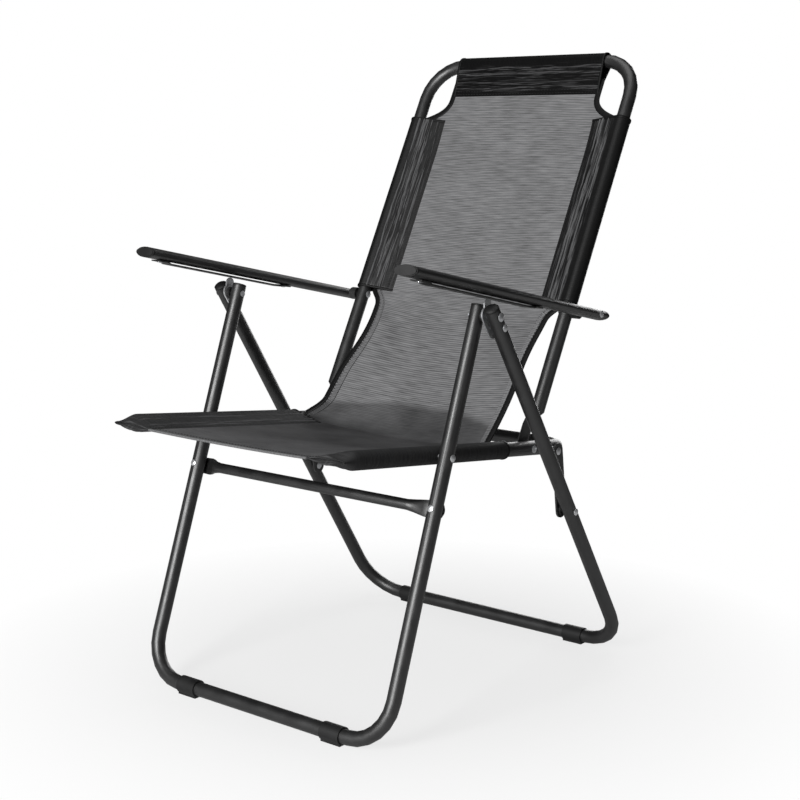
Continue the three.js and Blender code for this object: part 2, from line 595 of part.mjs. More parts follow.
// Top sleeve round the upper bar, drawn with the bar at the origin and the seam toward -X
const topSeam = BACK_LENGTH - BAND_LOW;
const topAngle = Math.acos(SLEEVE_R / topSeam);
const topShape = new THREE.Shape();
topShape.absarc(0, 0, SLEEVE_R, Math.PI - topAngle, topAngle - Math.PI, true);
topShape.lineTo(-topSeam, -CLOTH / 2);
topShape.lineTo(-topSeam, CLOTH / 2);
topShape.closePath();
const topHole = new THREE.Path();
topHole.absarc(0, 0, R + GAP, topAngle - Math.PI, Math.PI - topAngle, false);
topHole.lineTo((-topSeam * (R + GAP)) / SLEEVE_R, 0);
topHole.closePath();
topShape.holes.push(topHole);
const topSleeve = new THREE.ExtrudeGeometry(topShape, {
  depth: 2 * TOP_BAND_HALF, bevelEnabled: false, curveSegments: 10,
}).translate(0, 0, -TOP_BAND_HALF);
topSleeve.applyMatrix4(new THREE.Matrix4().makeBasis(at(0, BACK_UP), new THREE.Vector3().crossVectors(X_AXIS, at(0, BACK_UP)),
  X_AXIS).setPosition(at(0, BACK_TOP)));
put('back_sling', join(backBody, band, topSleeve), MESH);

// Free span of the sling between the back sleeves and the seat sleeves
const spanTop = along(BACK_C, BACK_UP, SLEEVE_LOW - GAP, -SPAN_BACK);
const spanLow = along(SEAT_A, RAIL, SLEEVE_REAR + GAP);
const span = new THREE.CubicBezierCurve(
  new THREE.Vector2(...spanTop),
  new THREE.Vector2(...along(spanTop, BACK_UP, -SPAN_DROP)),
  new THREE.Vector2(...along(spanLow, RAIL, SPAN_RUN)),
  new THREE.Vector2(...spanLow),
);
const spanSide = (k) => {
  const pts = [];
  for (let i = 0; i <= 14; i++) {
    const q = span.getPoint(i / 14);
    const t = span.getTangent(i / 14);
    pts.push(new THREE.Vector2(q.x - t.y * k, q.y + t.x * k));
  }
  return pts;
};
const spanShape = new THREE.Shape([...spanSide(CLOTH / 2), ...spanSide(-CLOTH / 2).reverse()]);
put('sling_lumbar', plate(spanShape, 2 * SPAN_HALF, 0), MESH);

// Origin: centre of the footprint box, floor at z = 0
chair.updateMatrixWorld(true);
const box = new THREE.Box3().setFromObject(chair);
const shift = [-(box.min.x + box.max.x) / 2, -(box.min.y + box.max.y) / 2, -box.min.z];
for (const mesh of chair.children) mesh.geometry.translate(...shift);

export default chair;
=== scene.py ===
# %% [markdown]
# # A folding sling lawn chair
# The frame is CAD: bent tubes, rivets, links and feet, already built and jointed.
# This lesson dresses it: a woven mesh sling sewn round the tubes, with creased sleeves,
# bound edges and stitches, and a finish for every metal and plastic piece.

import json

import bpy
import numpy as np
from mathutils import Matrix, Vector


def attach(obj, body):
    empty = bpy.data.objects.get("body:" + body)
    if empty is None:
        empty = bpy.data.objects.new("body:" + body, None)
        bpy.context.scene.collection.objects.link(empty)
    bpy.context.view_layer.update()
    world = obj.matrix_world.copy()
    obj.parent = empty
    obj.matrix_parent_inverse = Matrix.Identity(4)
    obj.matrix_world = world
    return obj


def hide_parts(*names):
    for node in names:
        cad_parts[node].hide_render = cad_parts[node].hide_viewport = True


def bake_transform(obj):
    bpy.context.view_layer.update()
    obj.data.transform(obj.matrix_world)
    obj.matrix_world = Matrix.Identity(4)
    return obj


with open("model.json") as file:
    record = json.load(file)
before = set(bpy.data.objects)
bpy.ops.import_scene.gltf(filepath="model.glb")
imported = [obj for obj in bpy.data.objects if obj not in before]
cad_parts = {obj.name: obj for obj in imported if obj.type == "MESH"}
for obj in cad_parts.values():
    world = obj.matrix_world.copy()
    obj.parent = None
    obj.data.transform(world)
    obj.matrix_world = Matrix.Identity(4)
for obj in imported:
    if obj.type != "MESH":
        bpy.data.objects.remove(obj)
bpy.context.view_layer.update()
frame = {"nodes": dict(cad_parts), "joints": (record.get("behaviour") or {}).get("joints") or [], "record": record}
record = frame["record"]

# %% [markdown]
# The sling is set out from the joints. The recline pivot and the arm pivot both lie on the
# back tube, so the line between them is the back's direction. The seat pivot and the
# recline pivot both lie on the seat rail, which gives the seat's direction. Typed
# coordinates would do as well, but these follow the frame if it changes.

# %% Two local frames: back and seat
pivot = {j["name"]: np.array(j["pos_m"], float) for j in frame["joints"]}
BACK_O = pivot["recline"]
SEAT_O = pivot["seat_swing"]
X = np.array([1.0, 0.0, 0.0])


def unit(v):
    """A vector, or each row of an array, divided by its own length."""
    return v / np.linalg.norm(v, axis=-1, keepdims=True)


BACK_S = unit(pivot["arm_fold"] - BACK_O)
BACK_N = np.array([0.0, BACK_S[2], -BACK_S[1]])
SEAT_S = unit(BACK_O - SEAT_O)
SEAT_N = np.array([0.0, -SEAT_S[2], SEAT_S[1]])


def back_at(x, s, n):
    """Width x, distance s up the back from its pivot, and n behind the tube plane."""
    x, s, n = np.broadcast_arrays(x, s, n)
    return BACK_O + x[..., None] * X + s[..., None] * BACK_S + n[..., None] * BACK_N


def seat_at(x, s, n):
    """Width x, distance s back along the rail from the seat pivot, and n above the rail."""
    x, s, n = np.broadcast_arrays(x, s, n)
    return SEAT_O + x[..., None] * X + s[..., None] * SEAT_S + n[..., None] * SEAT_N


print("back direction", BACK_S.round(3), "rail direction", SEAT_S.round(3))

# %% [markdown]
# The cloth of such a chair is cut flat and sewn, so it has few sizes: how far a seam lies
# from its tube, where a sleeve starts and ends, and how deep the cloth sags. They stand
# here once, because panels, tapes and stitches all share them.

# %% Sizes of the sling, in metres
CLOTH = 0.0012  # thickness of one layer
SLEEVE_R = 0.0129  # sleeve round the tube, to its middle surface
SEAM = 0.057  # from the tube's axis to the seam
OVERLAP = 0.003  # how far a panel runs on past its seam
BACK_HALF, BACK_LOW, BACK_HIGH = 0.208, 0.240, 0.560  # back tubes, and their sleeves' ends
BAND_LOW, BAND_TOP, BAND_HALF = 0.607, 0.668, 0.146  # top sleeve: seam, tube, half width
BAND = BAND_TOP - BAND_LOW
SEAT_HALF, SEAT_REAR, SEAT_FRONT = 0.211, 0.182, -0.204  # rails, crease and front tips
SEAT_EDGE = SEAT_HALF - SEAM + OVERLAP
SLEEVE_REAR = 0.172  # rear end of the seat sleeves, a little ahead of the crease
BACK_SEAM_N, BACK_SAG = 0.006, 0.014  # set back of the seams and of the middle
SEAT_SEAM_N, SEAT_SAG = 0.003, 0.009  # drop of the seams and of the middle
print("half width of the seat panel", round(SEAT_EDGE, 3))

# %% [markdown]
# Every piece of cloth is a grid of points: two parameters run over the sheet and a formula
# gives each point. One helper turns such a grid into a mesh. A subdivided plane could be
# pushed about by hand, but a formula keeps seams and panels in register. The UV map is in
# metres, so the weave keeps its real scale wherever the cloth goes.


# %% From a grid of points to a mesh
def grid_faces(rows, cols, loop):
    """Quads between neighbouring grid points; with loop, the last column joins the first."""
    i = np.arange(rows - 1)[:, None]
    j = np.arange(cols if loop else cols - 1)[None, :]
    k = (j + 1) % cols
    quads = [i * cols + j, i * cols + k, (i + 1) * cols + k, (i + 1) * cols + j]
    return np.stack(quads, -1).reshape(-1, 4)


def mesh_from(name, points, faces, uv=None, **values):
    """A smooth mesh object from whole arrays; uv and any named values are given per point."""
    me = bpy.data.meshes.new(name)
    me.vertices.add(len(points))
    me.vertices.foreach_set("co", np.asarray(points, np.float32).ravel())
    me.loops.add(faces.size)
    me.loops.foreach_set("vertex_index", faces.astype(np.int32).ravel())
    me.polygons.add(len(faces))
    starts = np.arange(0, faces.size, faces.shape[1], dtype=np.int32)
    me.polygons.foreach_set("loop_start", starts)
    me.polygons.foreach_set("use_smooth", np.ones(len(faces), bool))
    if uv is not None:
        layer = me.uv_layers.new(name="weave")
        layer.data.foreach_set("uv", np.asarray(uv, np.float32)[faces.ravel()].ravel())
    for key, value in values.items():
        kept = me.attributes.new(key, "FLOAT", "POINT")
        kept.data.foreach_set("value", np.asarray(value, np.float32).ravel())
    me.update(calc_edges=True)
    obj = bpy.data.objects.new(name, me)
    bpy.context.scene.collection.objects.link(obj)
    return obj


print("a grid of 3 x 3 points has", len(grid_faces(3, 3, False)), "faces")


# %% A sheet of cloth
def cloth(name, grid, uv, loop=False, flip=False, ridge=0.0, slack=0.0, lie=0.0):
    """A sheet on a grid, made thick by Solidify.

    Three values go with its points: ridge marks the crests of creases, slack the loose
    layers, and the third the share of painted shade where the cloth lies on the seat.
    """
    rows, cols = grid.shape[:2]
    faces = grid_faces(rows, cols, loop)
    extra = {"ridge": ridge, "slack": slack, "lie": lie}
    extra = {key: np.broadcast_to(value, (rows, cols)) for key, value in extra.items()}
    faces = faces[:, ::-1] if flip else faces
    obj = mesh_from(name, grid.reshape(-1, 3), faces, uv.reshape(-1, 2), **extra)
    wall = obj.modifiers.new("cloth_thickness", "SOLIDIFY")
    wall.thickness, wall.offset = CLOTH, 0.0
    print(name, rows, "x", cols)
    return obj


def flat_uv(across, along):
    """A UV map in metres, from the distances across and along the sheet."""
    return np.stack(np.broadcast_arrays(across, along), -1)


# %% [markdown]
# A sleeve is cloth folded round the tube and sewn to itself. Pulled tight, its section is a
# teardrop: an arc on the tube and two straight layers that meet at the seam. It could be
# left to a cloth simulation, but a stretched sleeve has this shape exactly.


# %% Teardrop section
def ease(t):
    """Smooth step from 0 to 1."""
    t = np.clip(t, 0, 1)
    return t * t * (3 - 2 * t)


def teardrop(count, seam=SEAM, radius=SLEEVE_R):
    """The closed section by arc length d: a straight layer, the arc, and the layer back.

    It gives d, the place (w toward the seam, n across), the normal in the same two
    directions, and the share t of the way from the tube to the seam.
    """
    a = np.arccos(radius / seam)
    flat = np.sqrt(seam**2 - radius**2)
    arc = radius * 2 * (np.pi - a)
    d = np.linspace(0, 2 * flat + arc, count, endpoint=False)
    angle = a + np.clip(d - flat, 0, arc) / radius
    t = np.clip(1 - d / flat, 0, 1) + np.clip((d - flat - arc) / flat, 0, 1)
    w = radius * np.cos(angle) + t * (seam - radius * np.cos(a))
    n = radius * np.sin(angle) * (1 - t)
    return d, w, n, np.cos(angle), np.sin(angle), t


print("the sleeve reaches", teardrop(90)[1].max().round(3), "m from the tube's axis")

# %% [markdown]
# The straight layers are slack along the tube, so they show long shallow creases. Each
# crease is a narrow ridge that wanders a little and fades in and out. They are real
# shapes and not only bump, so they also catch the light at a low angle.

# %% Creases in the slack layers
TURN = 6.28  # one full wave
rng = np.random.default_rng(7)


def creases(t, s, count, depth, width, wander):
    """Sum of narrow ridges at wandering places t_k(s), each fading in and out along s."""
    height = np.zeros(np.broadcast(t, s).shape)
    for _ in range(count):
        place, phase = rng.uniform(0.12, 0.88), rng.uniform(0, TURN, 3)
        wave = rng.uniform(0.05, 0.15)
        swing = np.sin(TURN * s / wave + phase[0]) + 0.5 * np.sin(15.0 * s / wave + phase[1])
        fade = ease(0.5 + 0.9 * np.sin(TURN * s / (1.9 * wave) + phase[2]))
        ridge = np.exp(-(((t - (place + wander * swing)) / width) ** 2))
        height = height + depth * rng.uniform(0.4, 1.0) * fade * ridge
    return height * ease(t * 7) * ease((1 - t) * 8)


def slack_of(t):
    """How loose the cloth is: 0 on the tube and at the seam, 1 half way between."""
    return ease(t * 4) * ease((1 - t) * 4)


print("slack on the tube", slack_of(0.0), "and half way", slack_of(0.5))

# %% [markdown]
# Two sleeves hold the back tubes. The panel between them pulls their seams backwards, most
# of all low down, where a sitter leans. So the section is carried up the tube and its seam
# is set back by a share that depends on the height.

# %% Back sleeves
SECTION, LENGTHS = 380, 100  # points round a sleeve and along it
LEVEL_OUT = 0.11  # length over which the sag dies out below the top sleeve
CREASE, CREASE_WIDE, CREASE_WANDER = 0.0009, 0.011, 0.012  # height, and shares of the layer


def back_depth(s):
    """Share of the full sag: none at the top sleeve, all of it from 110 mm below."""
    return ease((BAND_LOW - s) / LEVEL_OUT)


def back_sleeve(name, side):
    """Teardrop section carried up the back tube; the pull of the panel sets its seam back."""
    d, w, n, nw, nn, t = teardrop(SECTION)
    s = np.linspace(BACK_LOW, BACK_HIGH, LENGTHS)[:, None]
    bump = creases(t, s, 44, CREASE, CREASE_WIDE, CREASE_WANDER)
    x = side * (BACK_HALF - (w + nw * bump))
    depth = BACK_SEAM_N * back_depth(s) * np.clip(w / SEAM, 0, 1) - (n + nn * bump)
    grid, loose = back_at(x, s, depth), slack_of(t)
    return cloth(name, grid, flat_uv(d, s), True, side < 0, ridge=bump / CREASE, slack=loose)


back_sleeves = [back_sleeve("back_sleeve_left", -1), back_sleeve("back_sleeve_right", 1)]

# %% [markdown]
# The top sleeve is the same fold of cloth on the level tube at the head of the back. It is
# a little deeper and holds the panel straight, so its seam isn't set back.

# %% Top sleeve
d, w, n, nw, nn, t = teardrop(SECTION, BAND)
x = np.linspace(-BAND_HALF, BAND_HALF, LENGTHS)[:, None]
bump = creases(t, x, 40, CREASE, CREASE_WIDE, CREASE_WANDER)
grid, loose = back_at(x, BAND_TOP - (w + nw * bump), -(n + nn * bump)), slack_of(t)
top_sleeve = cloth("back_top_sleeve", grid, flat_uv(d, x), True, ridge=bump / CREASE, slack=loose)

# %% [markdown]
# The back panel hangs between the two seams. Across its width it sags like a chain, and
# near the top it flattens out where the top sleeve holds it level. Above the side sleeves
# its edge is cut away in a hollow curve, so the tube's corner stays open. The cut is part
# of the formula: the half width changes with the height, and no face has to be removed.

# %% Back panel
STEP = 0.0004  # gap in height between the full width and the hollow cut
CUT_INSET, CUT_PAST, CUT_HOLLOW = 0.012, 0.002, 2.9  # its widest and narrowest, and its bow


def back_half(s):
    """Half width: just past the seam beside the sleeves, and the hollow cut above them."""
    t = np.clip((s - BACK_HIGH) / (BAND_LOW - BACK_HIGH), 0, 1)
    reach = (BACK_HALF - CUT_INSET - BAND_HALF) * (1 - t) ** CUT_HOLLOW
    return np.where(s > BACK_HIGH, BAND_HALF + CUT_PAST + reach, BACK_HALF - SEAM + OVERLAP)


def back_sag(x, s):
    """Parabola across the width between the seams, level beyond them."""
    dip = np.clip(1 - (x / (BACK_HALF - SEAM)) ** 2, 0, 1)
    lean = BACK_SEAM_N * np.clip((BACK_HALF - np.abs(x)) / SEAM, 0, 1)
    return back_depth(s) * (lean + (BACK_SAG - BACK_SEAM_N) * dip)


beside = np.linspace(BACK_LOW, BACK_HIGH - STEP, 130)
above = np.linspace(BACK_HIGH + STEP, BAND_LOW + OVERLAP, 50)
s = np.r_[beside, above][:, None]
x = np.linspace(-1, 1, 140) * back_half(s)
back_panel = cloth("back_panel", back_at(x, s, back_sag(x, s)), flat_uv(x, s), flip=True)

# %% [markdown]
# Below the side sleeves the cloth leaves the tubes and runs almost straight down to the
# seat, where it turns in a tight crease. It crosses the recline pivot, so it is two strips:
# the upper one bends between the pivot pins and the back, the lower one between the seat
# and the pins. In side view it is one cubic curve, which leaves the back and meets the
# seat in their own directions.

# %% Free span: its curve in side view
SPAN_TOP = back_at(0.0, BACK_LOW, 0.0)
SPAN_LOW = seat_at(0.0, SEAT_REAR, 0.0)
SPAN_LENGTH = 0.27
SPAN_SPLIT = 0.62  # share of the curve that belongs to the upper strip
PULL_TOP, PULL_LOW = (0.045, 0.030), (0.014, 0.046)  # of the ends: at the hems, and more inside


def span_at(u, a=1.0):
    """Cubic curve from the back (u = 0) to the seat (u = 1), rounder toward the middle, a = 0."""
    u, round_off = np.broadcast_arrays(u, 1 - np.square(a))
    u, round_off = u[..., None], round_off[..., None]
    high = SPAN_TOP - (PULL_TOP[0] + PULL_TOP[1] * round_off) * BACK_S
    low = SPAN_LOW + (PULL_LOW[0] + PULL_LOW[1] * round_off) * SEAT_S
    ends = (1 - u) ** 3 * SPAN_TOP + 3 * u * (1 - u) ** 2 * high
    return ends + 3 * u**2 * (1 - u) * low + u**3 * SPAN_LOW


def span_normal(u, a=1.0):
    """Unit normal of that curve, pointing behind and below the cloth."""
    t = unit(span_at(np.minimum(u + 1e-3, 1), a) - span_at(np.maximum(u - 1e-3, 0), a))
    return np.stack([0 * t[..., 0], -t[..., 2], t[..., 1]], -1)


print("the span turns in near", span_at(1.0).round(3))

# %% [markdown]
# Across its width the span is a little narrower than the panel, with hollow edges that
# sweep out to the sleeves. The two hems don't match: the left one hangs wider, as used
# cloth does. A painted shade sets in along an arc where the cloth turns into the seat.

# %% Free span: its width, sag and painted shade
FLARE_RIGHT, FLARE_LEFT = 0.030, (0.016, 0.028)  # how far the hems sweep out
SPAN_HALF, SPAN_TAPER, SPAN_WAIST, SPAN_SHOULDER = 0.173, 0.006, 0.006, 0.018
MID_SAG, MID_DIP = 0.004, 0.007  # sag at the hems and what the middle adds
TUCK = 0.018  # how far the outer ends are drawn in under the seat sleeves


def span_x(a, u):
    """Sideways place: nearly even, with a waist and hollow curves out to the sleeves."""
    right = FLARE_RIGHT * ease((u - 0.80) / 0.20) ** 2.5
    left = FLARE_LEFT[0] * ease((u - 0.20) / 0.36) + FLARE_LEFT[1] * ease((u - 0.70) / 0.20)
    waist = SPAN_WAIST * np.exp(-(((u - 0.36) / 0.16) ** 2))
    shoulder = SPAN_SHOULDER * (1 - ease(u / 0.17)) ** 1.5
    half = SPAN_HALF - SPAN_TAPER * ease(u) - waist + shoulder + (left + right) / 2
    return a * half + (right - left) / 2 * a**2


def span_point(a, u):
    """Point at share a of the half width: the panel's own sag at the top eases into a parabola."""
    x = span_x(a, u)
    top = back_sag(x, BACK_LOW + 0 * u) + 0.004 * ease((np.abs(x) - 0.15) / 0.04)
    dip = np.clip(1 - (x / SEAT_EDGE) ** 2, 0, 1)
    low = SEAT_SEAM_N + (SEAT_SAG - SEAT_SEAM_N) * dip
    mid = MID_SAG + MID_DIP * (1 - a**2)
    sag = top + (mid - top) * ease(u / 0.3) + (low - mid) * ease((u - 0.8) / 0.2)
    tuck = TUCK * ease((np.abs(x) - 0.150) / 0.02) * ease((u - 0.85) / 0.15)
    side = span_at(u, a) + sag[..., None] * span_normal(u, a) - tuck[..., None] * SEAT_S
    return side + x[..., None] * X


def span_lie(a, u):
    """Share of painted shade on the span: it sets in along an arc, lower toward the hems."""
    line = 0.625 + 0.09 * a**2 + 0.004 * np.sin(9 * a + 1)
    return 0.1 * ease(u / 0.2) + 0.9 * ease((u - line) / 0.055)


print("hems of the span at mid height", span_x(np.array([-1, 1]), 0.5).round(3))


# %% Free span: its two strips
def span_strip(name, low, high):
    """The part of the free span between two shares of its curve."""
    u = np.linspace(low, high, 80)[:, None]
    a = np.linspace(-1, 1, 140)[None, :]
    uv = flat_uv(span_x(a, u), BACK_LOW - u * SPAN_LENGTH)
    return cloth(name, span_point(a, u), uv, lie=span_lie(a, u))


span_upper = span_strip("span_upper", 0.0, SPAN_SPLIT)
span_lower = span_strip("span_lower", SPAN_SPLIT, 1.0)

# %% [markdown]
# The seat is made like the back: a sleeve round each rail and a panel between the seams.
# The sleeves run past the tube ends and their outer corners are drawn out into soft tips.
# An open tube of cloth would show its hollow inside there, so the first rows of the grid
# fold the mouth in and close it, as the sewn end of the real sleeve does.

# %% Seat sleeves
FOLD_ROWS, SLEEVE_ROWS = 10, 130  # rows of the tucked mouth and of the sleeve itself
SEAT_CREASE, MOUTH = 0.0010, 0.006  # height of creases, and depth of the tucked mouth
TUBE_END, TIP = -0.172, 0.030  # where the rail ends, and the length of the narrowing tip


def seat_front(x):
    """Front edge of the seat: hollow between the sleeves, furthest forward at the tips."""
    return SEAT_FRONT + 0.017 * np.clip(1 - (x / SEAT_HALF) ** 2, 0, 1) ** 1.3


def seat_sleeve(name, side):
    """Teardrop section along the rail; past the tube's end it narrows to a mouth sewn shut."""
    d, w, n, nw, nn, t = teardrop(240)
    inner = np.linspace(0, 1, FOLD_ROWS + 1)[:-1]
    fold = np.r_[inner, np.ones(SLEEVE_ROWS)][:, None]
    v = np.r_[np.zeros(FOLD_ROWS), np.linspace(0, 1, SLEEVE_ROWS) ** 1.25][:, None]
    s = seat_front(SEAT_HALF - w) * (1 - v) + SLEEVE_REAR * v
    close = 1 - 0.8 * ease((TUBE_END - s) / TIP) * np.clip(1.0 - w / 0.03, 0.35, 1)
    bump = creases(t, s, 16, SEAT_CREASE, 0.020, 0.014) * ease(v / 0.08)
    x = side * (SEAT_HALF - (w + nw * bump))
    height = (n + nn * bump) * close * fold - SEAT_SEAM_N * np.clip(w / SEAM, 0, 1)
    s = s + MOUTH * (1 - fold) ** 1.5
    marks = {"ridge": bump / SEAT_CREASE, "slack": 0.5 * slack_of(t)}
    return cloth(name, seat_at(x, s, height), flat_uv(d, s), True, side > 0, **marks)


seat_sleeves = [seat_sleeve("seat_sleeve_left", -1), seat_sleeve("seat_sleeve_right", 1)]

# %% [markdown]
# The seat panel sags least at the front hem, where the doubled edge is stiff, and its
# front edge is cut slightly hollow. It carries painted shade, full toward the rear and
# fading toward the front hem, which so reads as lit; this share is kept as a value on its
# points, so the weave itself needn't know where on the chair it is.


# %% Seat panel
def seat_drop(x, s):
    """Drop below the rails: the seams a little, the middle most, and less at the front hem."""
    dip = np.clip(1 - (x / (SEAT_HALF - SEAM)) ** 2, 0, 1)
    share = 0.55 + 0.45 * ease((s - SEAT_FRONT) / 0.12)
    return SEAT_SEAM_N + (SEAT_SAG - SEAT_SEAM_N) * dip * share


def seat_lie(s):
    """Share of painted shade on the seat, giving way to the paler weave toward the front hem."""
    return 1 - 0.75 * ease((0.06 - s) / 0.25)


x = np.linspace(-SEAT_EDGE, SEAT_EDGE, 130)[None, :]
v = np.linspace(0, 1, 160)[:, None]
s = seat_front(x) * (1 - v) + SEAT_REAR * v
grid = seat_at(x, s, -seat_drop(x, s))
seat_panel = cloth("seat_panel", grid, flat_uv(x, s), lie=seat_lie(s))

# %% [markdown]
# Cut edges are bound with a folded tape. A curve with a bevel could make it, but its twist
# is hard to control. Here a path has two directions at each point, across the tape and out
# of the cloth, and a flat rounded section is carried along it.


# %% Tape along a path
def tangents(path, closed=False):
    """Unit direction along a path, from the neighbours of each point."""
    if closed:
        return unit(np.roll(path, -1, 0) - np.roll(path, 1, 0))
    return unit(np.gradient(path, axis=0))


def run_of(path):
    """Distance along a path, from its first point to each point."""
    return np.r_[0, np.cumsum(np.linalg.norm(np.diff(path, axis=0), axis=1))]


def tape(name, path, out, width=0.005, thick=0.0030, closed=False, lie=0.0):
    """A flat rounded section |a/w|^3 + |b/t|^3 = 1 carried along a path; open ends close flat."""
    q = np.linspace(0, 2 * np.pi, 12, endpoint=False)
    a = np.sign(np.cos(q)) * np.abs(np.cos(q)) ** 0.67 * width / 2
    b = np.sign(np.sin(q)) * np.abs(np.sin(q)) ** 0.67 * thick / 2
    out = np.broadcast_to(out, path.shape)
    across = unit(np.cross(tangents(path, closed), out))
    section = a[None, :, None] * across[:, None] + b[None, :, None] * out[:, None]
    grid = path[:, None] + section
    if closed:
        grid = np.concatenate([grid, grid[:1]])
    else:
        caps = [path[k, None] + 0.02 * section[k] for k in (slice(0, 1), slice(-1, None))]
        grid = np.concatenate([caps[0], grid, caps[1]])
    rows, cols = grid.shape[:2]
    uv = flat_uv(q[None] * 0.002, run_of(grid.mean(1))[:, None]).reshape(-1, 2)
    # The tape carries a share of the cloth's painted shade along its length.
    share = np.linspace(0, 1, len(path))
    shade_share = np.interp(np.linspace(0, 1, rows), share, lie + np.zeros(len(path)))
    faces = grid_faces(rows, cols, True)
    return mesh_from(name, grid.reshape(-1, 3), faces, uv, lie=np.repeat(shade_share, cols))


# %% [markdown]
# The seams and hems carry two rows of stitches. Each stitch is a small six-sided spindle,
# lying along the path and half sunk in the cloth. Whole rows are one mesh, because a
# thousand separate objects would slow the scene down.

# %% Stitches along a path
RINGS, FACETS = 5, 6


def stitches(name, path, out, pitch=0.0058, radius=0.00042):
    """A row of short threads: one spindle copied at even steps along the path."""
    run = run_of(path)
    at = np.arange(pitch / 2, run[-1], pitch)

    def along_path(values):
        return np.stack([np.interp(at, run, c) for c in values.T], -1)

    centre, along = along_path(path), unit(along_path(tangents(path)))
    up = unit(along_path(np.broadcast_to(out, path.shape)))
    side = np.cross(along, up)
    angles = np.linspace(0, 2 * np.pi, FACETS, endpoint=False)
    ring, turn = np.meshgrid(np.linspace(-1, 1, RINGS), angles, indexing="ij")
    fat = radius * np.sqrt(np.maximum(1 - ring**4, 0.01))
    local = [0.36 * pitch * ring, fat * np.cos(turn), fat * np.sin(turn) - 0.2 * radius]
    axes = (along, side, up)
    shape = sum(c.ravel()[None, :, None] * axis[:, None] for c, axis in zip(local, axes))
    first = RINGS * FACETS * np.arange(len(at))[:, None, None]
    faces = (grid_faces(RINGS, FACETS, True)[None] + first).reshape(-1, 4)
    print(name, len(at), "stitches")
    return mesh_from(name, (centre[:, None] + shape).reshape(-1, 3), faces[:, ::-1])


# %% [markdown]
# On the back, tape binds both ends of each sleeve and the hollow cuts at the corners. A
# sleeve's end is a closed loop of tape round its teardrop section, and a corner's tape
# starts behind the top sleeve and follows the panel's own edge.

# %% Bound edges of the back sleeves and corners
SIDES = ((-1, "left"), (1, "right"))
ROWS = (0.0035, 0.0085)  # two rows of stitches, from the seam inwards
trims = []  # piece, its finish, its body and the sheet that carries it


def seam_lift(gap, seam=SEAM):
    """Height of the sleeve's front layer above its seam, at a distance gap from it."""
    rise = SLEEVE_R * np.sqrt(1 - (SLEEVE_R / seam) ** 2)
    return gap / (seam - SLEEVE_R**2 / seam) * rise + 0.0008


behind_band = np.linspace(BAND_LOW + 0.028, BAND_LOW, 12)
s = np.r_[behind_band, np.linspace(BAND_LOW - 0.002, BACK_HIGH + STEP, 40)]
_, w, n, nw, nn, _ = teardrop(90)
for (side, word), sleeve in zip(SIDES, back_sleeves):
    x = side * back_half(np.minimum(s, BAND_LOW))
    path = back_at(x, s, back_sag(x, s) - 0.0002)
    corner = tape(f"corner_binding_{word}", path, -BACK_N, 0.0105)
    trims.append((corner, "tape", "back", back_panel))
    out = nw[:, None] * -side * X - nn[:, None] * BACK_N
    for level, end in ((BACK_LOW, "low"), (BACK_HIGH, "high")):
        lean = BACK_SEAM_N * back_depth(level) * np.clip(w / SEAM, 0, 1)
        loop = back_at(side * (BACK_HALF - w), level, lean - n)
        ring = tape(f"sleeve_binding_{end}_{word}", loop, out, closed=True)
        trims.append((ring, "tape", "back", sleeve))
    for row, gap in enumerate(ROWS):
        s_row = np.linspace(BACK_LOW + 0.006, BACK_HIGH - 0.004, 160)
        depth = BACK_SEAM_N * back_depth(s_row) * (SEAM - gap) / SEAM - seam_lift(gap)
        path = back_at(side * (BACK_HALF - SEAM + gap), s_row, depth)
        thread = stitches(f"sleeve_stitch_{row}_{word}", path, -BACK_N)
        trims.append((thread, "thread", "back", sleeve))
print(len(trims), "trims on the back")

# %% Bound ends of the top sleeve
_, w, n, nw, nn, _ = teardrop(90, BAND)
for side, word in SIDES:
    loop = back_at(side * BAND_HALF, BAND_TOP - w, -n)
    out = -nw[:, None] * BACK_S - nn[:, None] * BACK_N
    ring = tape(f"top_binding_{word}", loop, out, closed=True)
    trims.append((ring, "tape", "back", top_sleeve))
for row, gap in enumerate(ROWS):
    x = np.linspace(-BAND_HALF + 0.005, BAND_HALF - 0.005, 150)
    path = back_at(x, BAND_LOW + gap, -seam_lift(gap, BAND))
    thread = stitches(f"top_stitch_{row}", path, -BACK_N)
    trims.append((thread, "thread", "back", top_sleeve))

# %% [markdown]
# The span's free edges are hemmed: the cloth is folded over once and a dark tape closes
# the edge. So each side has a narrow dark tape, and beside it a wider band of doubled
# cloth in the panel's own weave, held by two rows of stitches.

# %% Hems of the free span
HEM, FOLD = (0.0095, 0.0036), (0.0125, 0.0026)  # width and thickness of tape and fold
FOLD_IN, SPAN_ROWS = 0.0095, (0.0060, 0.0140)  # from the edge to the fold and the stitches
strips = (("upper", 0.0, SPAN_SPLIT, span_upper), ("lower", SPAN_SPLIT, 0.97, span_lower))
for word, low, high, sheet in strips:
    u = np.linspace(low, high, 90)
    out = -span_normal(u)
    for side, hand in SIDES:
        inward = side / np.abs(span_x(side, u))
        hem = tape(f"span_hem_{word}_{hand}", span_point(side + 0 * u, u), out, *HEM)
        trims.append((hem, "tape", word, sheet))
        # The fold carries the span's painted shade, heavier on the left hem and lighter on the right.
        shade_share = span_lie(side, u)
        shade_share = np.clip(shade_share + 0.25, 0, 1) if side < 0 else 0.4 * shade_share
        line = span_point(side - FOLD_IN * inward, u)
        fold = tape(f"span_fold_{word}_{hand}", line, out, *FOLD, lie=shade_share)
        trims.append((fold, "panel", word, sheet))
        for row, gap in enumerate(SPAN_ROWS):
            path = span_point(side - gap * inward, u) + 0.0014 * out
            thread = stitches(f"span_stitch_{word}_{row}_{hand}", path, out)
            trims.append((thread, "thread", word, sheet))

# %% [markdown]
# The seat's front edge is a doubled hem of the panel's own cloth, with its two rows of
# stitches further in. The seat sleeves are bound at the rear only, because their front
# mouths are tucked in and sewn shut.

